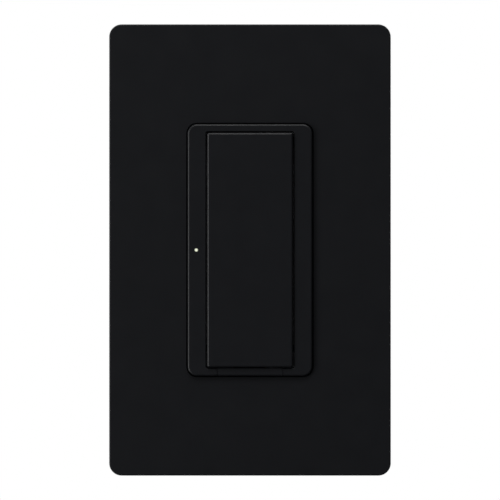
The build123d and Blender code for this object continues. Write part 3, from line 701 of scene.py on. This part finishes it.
def build_choke():
    """Enamelled wire wound round a painted ring, turn beside turn."""
    ring_width = 3.5
    turns = 26
    steps = 20
    squareness = 0.45
    gap = math.radians(28)
    core_low, core_high, centre = box_mm("choke_core")
    low, high, _ = box_mm("choke_winding")
    outer = (core_high.x - core_low.x) / 2
    wire_radius = (high.x - low.x) / 4 - outer / 2
    middle = outer - ring_width / 2
    reach = ring_width / 2 + wire_radius
    rise = (core_high.y - core_low.y) / 2 + wire_radius
    points = []
    for i in range(turns * steps + 1):
        around = gap / 2 - math.tau / 4 + (math.tau - gap) * i / (turns * steps)
        spin = math.tau * i / steps
        outward = math.copysign(abs(math.cos(spin)) ** squareness, math.cos(spin))
        along_y = math.copysign(abs(math.sin(spin)) ** squareness, math.sin(spin))
        radius = middle + reach * outward
        spot = Vector((radius * math.cos(around), rise * along_y, radius * math.sin(around)))
        points.append(centre + spot)
    bm = bmesh.new()
    tube(bm, points, 0.98 * wire_radius, 8)
    piece("choke_turns", bm, "copper_wire", "choke_winding", crease=60)
    softened("choke_ring", "choke_core", 0.5)


# --- Parts on the board ----------------------------------------------------------------------------

def build_can():
    """An electrolytic can: sleeve with a rolled groove, and a scored metal top."""
    lip = 0.9
    groove_start = 1.2
    groove_length = 1.2
    groove_depth = 0.35
    groove_rows = 8
    low, high, centre = box_mm("electrolytic_capacitor")
    radius = (high.x - low.x) / 2
    height = high.y - low.y
    place = pointing((centre.x, low.y, centre.z), INTO_WALL)
    sleeve = bmesh.new()
    rows = [(0, 0.3), (radius - 0.5, 0.3), (radius - 0.35, 0), (radius - 0.05, 0.15), (radius, 0.5)]
    for i in range(groove_rows + 1):
        share = i / groove_rows
        groove = radius - groove_depth * math.sin(math.pi * share)
        rows.append((groove, groove_start + groove_length * share))
    rows += [
        (radius, height - 0.7),
        (radius - 0.2, height - 0.2),
        (radius - 0.55, height),
        (radius - lip, height - 0.06),
        (radius - lip, height - 0.2),
        (0, height - 0.2),
    ]
    revolve(sleeve, rows, 48, place)
    piece("can_sleeve", sleeve, "can_sleeve", "electrolytic_capacitor")
    top = round_bar(radius - lip, height - 0.25, height - 0.1, 48, place)
    scores = []
    for turn in (0, 90):
        groove = bmesh.new()
        spin = place @ Matrix.Rotation(math.radians(turn), 4, "Z")
        brick(groove, (-2.2, -0.12, height - 0.18), (2.2, 0.12, height + 0.1), spin)
        scores.append(groove)
    piece("can_top", carve(top, scores), "rivet_aluminium", "electrolytic_capacitor")


def build_film_capacitor():
    """A moulded box with a small foot at each corner."""
    foot = 1.5
    inset = 0.1
    lift = 0.4
    low, high, _ = box_mm("film_capacitor")
    bm = bmesh.new()
    brick(bm, (low.x, low.y + lift, low.z), high)
    for x in (low.x + inset, high.x - inset - foot):
        for z in (low.z + inset, high.z - inset - foot):
            brick(bm, (x, low.y, z), (x + foot, low.y + lift + 0.1, z + foot))
    soft_edges(bm, 0.3, segments=3)
    piece("film_box", bm, "film_box", "film_capacitor", crease=50, even=True)


def build_varistor():
    """A dipped disc with rounded edges, and coating that runs down its two wires."""
    wire_spacing = 5.0
    wire_radius = 0.35
    wire_length = 2.0
    edge_rows = 16
    low, high, centre = box_mm("varistor")
    radius = (high.x - low.x) / 2
    half = (high.z - low.z) / 2
    bulge = 0.75 * half
    run_down = [(0, -0.6), (1.0, -0.4), (0.9, 0.3), (0.55, 1.0), (0.4, 1.5), (0, 1.55)]
    disc = bmesh.new()
    rows = [(0, -half)]
    for i in range(1, edge_rows):
        angle = math.pi * (i / edge_rows - 0.5)
        rows.append((radius - bulge + bulge * math.cos(angle), half * math.sin(angle)))
    rows.append((0, half))
    revolve(disc, rows, 56, pointing((centre.x, high.y - radius, centre.z), UP))
    wires = bmesh.new()
    for x in (centre.x - wire_spacing / 2, centre.x + wire_spacing / 2):
        neck = pointing((x, high.y - 2 * radius + 1.2, centre.z), TO_ROOM)
        revolve(disc, run_down, 20, neck)
        rod(wires, wire_radius, 0, wire_length, 16, pointing((x, low.y, centre.z), INTO_WALL))
    piece("varistor_disc", disc, "varistor_coat", "varistor")
    piece("varistor_leads", wires, "zinc_steel", "varistor")


def build_triac():
    """A moulded body with a mark of its mould, a bare tab with its hole, and three tinned legs."""
    tab_height = 6.6
    body_height = 9.2
    body_depth = 4.4
    tab_thickness = 1.3
    hole_radius = 1.85
    hole_drop = 2.8
    dimple_drop = 1.8
    leg_spacing = 2.54
    leg_offset = 2.2
    leg_thickness = 0.5
    half_leg = 0.4
    half_shoulder = 0.6
    shoulder = 0.9
    low, high, centre = box_mm("triac")
    body_top = high.z - tab_height
    body_bottom = body_top - body_height
    body_back = low.y + body_depth
    body = bmesh.new()
    brick(body, (low.x, low.y, body_bottom), (high.x, body_back, body_top))
    soft_edges(body, 0.35)
    dimple = pointing((centre.x, body_back - 0.15, body_top - dimple_drop), INTO_WALL)
    body = carve(body, [round_bar(0.8, 0, 1, 24, dimple)])
    piece("triac_body", body, "chip_plastic", "triac", crease=50)
    tab = bmesh.new()
    brick(tab, (low.x, low.y, body_top), (high.x, low.y + tab_thickness, high.z))
    soft_edges(tab, 0.2)
    hole = pointing((centre.x, low.y, high.z - hole_drop), INTO_WALL)
    tab = carve(tab, [round_bar(hole_radius, -1, 3, 40, hole)])
    piece("triac_tab", tab, "rivet_aluminium", "triac", crease=50)
    legs = bmesh.new()
    front = low.y + leg_offset
    back = front + leg_thickness
    step = body_bottom - shoulder
    for x in (centre.x - leg_spacing, centre.x, centre.x + leg_spacing):
        brick(legs, (x - half_shoulder, front, step), (x + half_shoulder, back, body_bottom))
        brick(legs, (x - half_leg, front, low.z), (x + half_leg, back, step))
        brick(legs, (x - half_leg, back, low.z), (x + half_leg, high.y, low.z + leg_thickness))
    piece("triac_legs", legs, "zinc_steel", "triac")


def build_chip():
    """A flat package with a pin mark and gull-wing pins on four sides."""
    inset = 0.55
    mark_inset = 1.3
    pin_count = 8
    pin_pitch = 0.5
    half_pin = 0.11
    low, high, centre = box_mm("controller_chip")
    half = (high.x - low.x) / 2
    body = bmesh.new()
    brick(body, (low.x + inset, low.y, low.z + inset), (high.x - inset, high.y - 0.1, high.z - inset))
    soft_edges(body, 0.12)
    corner = pointing((low.x + mark_inset, low.y, high.z - mark_inset), INTO_WALL)
    body = carve(body, [round_bar(0.3, -1, 0.08, 20, corner)])
    piece("chip_body", body, "chip_plastic", "controller_chip", crease=50)
    pins = bmesh.new()
    shoulder = half - inset
    foot = high.y - centre.y
    pin_bricks = (
        (shoulder - 0.1, shoulder + 0.2, -0.08, 0.08),
        (shoulder + 0.1, shoulder + 0.2, 0.0, foot),
        (shoulder + 0.1, half, foot - 0.12, foot),
    )
    for quarter in range(4):
        spin = Matrix.Translation(centre) @ Matrix.Rotation(math.radians(90 * quarter), 4, "Y")
        for i in range(pin_count):
            z = pin_pitch * (i - (pin_count - 1) / 2)
            for start, end, near, far in pin_bricks:
                brick(pins, (start, near, z - half_pin), (end, far, z + half_pin), spin)
    piece("chip_pins", pins, "zinc_steel", "controller_chip")


def build_small_parts():
    """Ceramic chips with a tinned cap on each end."""
    cap_length = 0.36
    cap_overlap = 0.06
    cap_wall = 0.04
    bodies = bmesh.new()
    caps = bmesh.new()
    for low, high in solid_boxes("surface_mount_parts"):
        along = 0 if high.x - low.x > high.z - low.z else 2
        shrink = Vector((cap_wall, cap_wall, cap_wall))
        shrink[along] = cap_length - cap_overlap
        brick(bodies, low + shrink, high - shrink)
        near_end = high.copy()
        near_end[along] = low[along] + cap_length
        brick(caps, low, near_end)
        far_start = low.copy()
        far_start[along] = high[along] - cap_length
        brick(caps, far_start, high)
    soft_edges(caps, 0.06)
    piece("small_part_bodies", bodies, "small_part_ceramic", "surface_mount_parts")
    piece("small_part_caps", caps, "zinc_steel", "surface_mount_parts", crease=60)


def build_key():
    """A tactile switch: moulded base, and a pressed metal cover held by four studs."""
    cover_front = 0.05
    cover_back = 0.35
    cover_inset = 0.1
    well_radius = 1.8
    well_depth = 3.0
    stud_inset = 0.7
    low, high, centre = box_mm("key_switch_body")
    through = pointing((centre.x, low.y - 1, centre.z), INTO_WALL)
    base = bmesh.new()
    brick(base, (low.x, low.y + cover_back, low.z), (high.x, high.y - 0.05, high.z))
    soft_edges(base, 0.15)
    base = carve(base, [round_bar(well_radius, 0, well_depth, 40, through)])
    piece("key_base", base, "chip_plastic", "key_switch_body", crease=50)
    cover = bmesh.new()
    brick(
        cover,
        (low.x + cover_inset, low.y + cover_front, low.z + cover_inset),
        (high.x - cover_inset, low.y + cover_back, high.z - cover_inset),
    )
    soft_edges(cover, 0.08)
    cover = carve(cover, [round_bar(well_radius, 0, well_depth, 40, through)])
    piece("key_cover", cover, "zinc_steel", "key_switch_body", crease=50)
    studs = bmesh.new()
    stud_rows = [(0, 0), (0.25, 0.01), (0.36, 0.08), (0.36, 0.4), (0, 0.4)]
    for x in (low.x + stud_inset, high.x - stud_inset):
        for z in (low.z + stud_inset, high.z - stud_inset):
            revolve(studs, stud_rows, 20, pointing((x, low.y, z), INTO_WALL))
    piece("key_studs", studs, "chip_plastic", "key_switch_body")


def build_label_print():
    """A ruled border and blank bars printed on the label."""
    ink = 0.02
    margin = 1.5
    rule = 0.25
    upper_rule_drop = 9.0
    lower_rule_rise = 8.0
    first_bar_drop = 12.0
    bar_margin = 2.0
    bar_height = 0.8
    bar_spacing = 2.4
    low, high, _ = box_mm("rating_label")
    left = low.x + margin
    right = high.x - margin
    bottom = low.z + margin
    top = high.z - margin
    upper_rule = top - upper_rule_drop
    lower_rule = bottom + lower_rule_rise
    bars = bmesh.new()
    for x_low, x_high, z_low, z_high in (
        (left, right, top - rule, top),
        (left, right, bottom, bottom + rule),
        (left, left + rule, bottom + rule, top - rule),
        (right - rule, right, bottom + rule, top - rule),
        (left + rule, right - rule, upper_rule, upper_rule + rule),
        (left + rule, right - rule, lower_rule, lower_rule + rule),
    ):
        brick(bars, (x_low, high.y, z_low), (x_high, high.y + ink, z_high))
    for row, share in enumerate((0.9, 0.7, 0.8, 0.55)):
        z = top - first_bar_drop - bar_spacing * row
        start = right - bar_margin - share * (right - left - 2 * bar_margin)
        brick(bars, (start, high.y, z), (right - bar_margin, high.y + ink, z + bar_height))
    piece("label_print", bars, "chip_plastic", body=BODY_OF["rating_label"])


def build_solder():
    """Solder cones where the through-hole parts come out on the front of the board."""
    can_wire_offset = 1.25
    disc_wire_offset = 2.5
    board_low, _, _ = box_mm("circuit_board")
    film_low, _, film = box_mm("film_capacitor")
    _, _, can = box_mm("electrolytic_capacitor")
    _, _, disc = box_mm("varistor")
    core_low, core_high, _ = box_mm("choke_core")
    places = [
        (film_low.x + 1.5, film.z),
        (can.x, can.z - can_wire_offset),
        (can.x, can.z + can_wire_offset),
        (disc.x - disc_wire_offset, disc.z),
        (disc.x + disc_wire_offset, disc.z),
        (core_low.x + 1, core_high.z),
        (core_high.x - 1, core_high.z),
    ]
    cone = [(0, -0.02), (0.9, -0.02), (0.85, 0.05), (0.5, 0.2), (0.28, 0.32), (0, 0.34)]
    bm = bmesh.new()
    for x, z in places:
        revolve(bm, cone, 20, pointing((x, board_low.y, z), TO_ROOM))
    piece("solder_joints", bm, "zinc_steel", body=BODY_OF["circuit_board"])


# --- The object ---------------------------------------------------------------------------------------

screws_along_y("box_screws", head_height=2.2, facing=TO_ROOM, neck=1.4, thread=MACHINE_THREAD)
screws_along_y("adapter_screws", head_height=1.6, facing=TO_ROOM, neck=1.35, thread=MACHINE_THREAD)
screws_along_y("housing_screws", head_height=1.6, facing=INTO_WALL, neck=0.9, thread=HOUSING_THREAD)
build_terminal_screws()
build_ground_screw()
build_spring()
build_light()
build_choke()
build_can()
build_film_capacitor()
build_varistor()
build_triac()
build_chip()
build_small_parts()
build_key()
build_label_print()
build_solder()

# How far the edges of each moulded or pressed part are rounded.
SOFT_EDGES = {
    "mounting_yoke": 0.12,
    "wallplate_adapter": 0.25,
    "rear_housing": 0.25,
    "hot_terminal_plate": 0.12,
    "load_terminal_plate": 0.12,
    "remote_terminal_plate": 0.12,
    "screw_washers": 0.12,
    "service_contacts": 0.08,
    "contact_bridge": 0.08,
}
for node, width in SOFT_EDGES.items():
    softened(node + "_edged", node, width)


# --- Stage, lights and camera ----------------------------------------------------------

FLOOR_RADIUS = 0.6
FLOOR_DROP = 0.45
LENS = 400.0
SENSOR = 36.0
# How many plates wide the picture is.
FRAME_PER_PLATE = 1.7755


def pale_world():
    """White where the camera looks past the object, and a dimmer light on the object."""
    world = bpy.data.worlds.new("studio")
    bpy.context.scene.world = world
    world.use_nodes = True
    tree = world.node_tree
    backdrop = tree.nodes["Background"]
    backdrop.inputs["Color"].default_value = (1, 1, 1, 1)
    backdrop.inputs["Strength"].default_value = 1.0
    fill = tree.nodes.new("ShaderNodeBackground")
    fill.inputs["Strength"].default_value = 0.09
    sky = tree.nodes.new("ShaderNodeTexCoord")
    height = tree.nodes.new("ShaderNodeSeparateXYZ")
    tree.links.new(sky.outputs["Generated"], height.inputs["Vector"])
    shades = ramp(tree, height.outputs["Z"], (0.45, 0.45, 0.45), (1, 1, 1), start=0.0, end=1.0)
    tree.links.new(shades, fill.inputs["Color"])
    path = tree.nodes.new("ShaderNodeLightPath")
    mix = tree.nodes.new("ShaderNodeMixShader")
    tree.links.new(path.outputs["Is Camera Ray"], mix.inputs["Fac"])
    tree.links.new(fill.outputs["Background"], mix.inputs[1])
    tree.links.new(backdrop.outputs["Background"], mix.inputs[2])
    tree.links.new(mix.outputs["Shader"], tree.nodes["World Output"].inputs["Surface"])


def softbox(name, place, width, height, watts):
    """A soft rectangular light that faces the object."""
    data = bpy.data.lights.new(name, "AREA")
    data.shape = "RECTANGLE"
    data.size = width
    data.size_y = height
    data.energy = watts
    lamp = bpy.data.objects.new(name, data)
    lamp.location = place
    lamp.rotation_euler = (-Vector(place)).to_track_quat("-Z", "Y").to_euler()
    bpy.context.scene.collection.objects.link(lamp)


def pale_floor():
    """A round pale floor below the object, which its glossy faces don't mirror."""
    bm = bmesh.new()
    bmesh.ops.create_circle(bm, cap_ends=True, radius=FLOOR_RADIUS, segments=96)
    floor = as_object("floor", bm)
    floor.location = (0, 0, -FLOOR_DROP)
    floor.data.materials.append(plastic("floor_paint", (0.80, 0.80, 0.79), 0.6, mottle=0.01, uneven=0.02))
    floor.visible_glossy = False


def front_camera():
    """A long lens straight in front of the wallplate, as in the photograph."""
    frame_width = FRAME_PER_PLATE * (CAD_BOX[1].x - CAD_BOX[0].x)
    data = bpy.data.cameras.new("camera")
    data.lens = LENS
    data.sensor_width = SENSOR
    data.clip_end = 20
    camera = bpy.data.objects.new("camera", data)
    camera.location = (0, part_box("wallplate")[0].y - frame_width * LENS / SENSOR, 0)
    camera.rotation_euler = (math.radians(90), 0, 0)
    bpy.context.scene.collection.objects.link(camera)
    bpy.context.scene.camera = camera


pale_world()
softbox("left_softbox", (-1.14, -0.85, -0.10), 0.68, 1.35, 17)
softbox("top_softbox", (0.0, -0.85, 1.20), 1.35, 0.68, 17)
softbox("back_softbox", (0.7, 1.0, 0.5), 0.8, 0.8, 14)
pale_floor()
front_camera()
bpy.context.scene.view_settings.view_transform = "Standard"
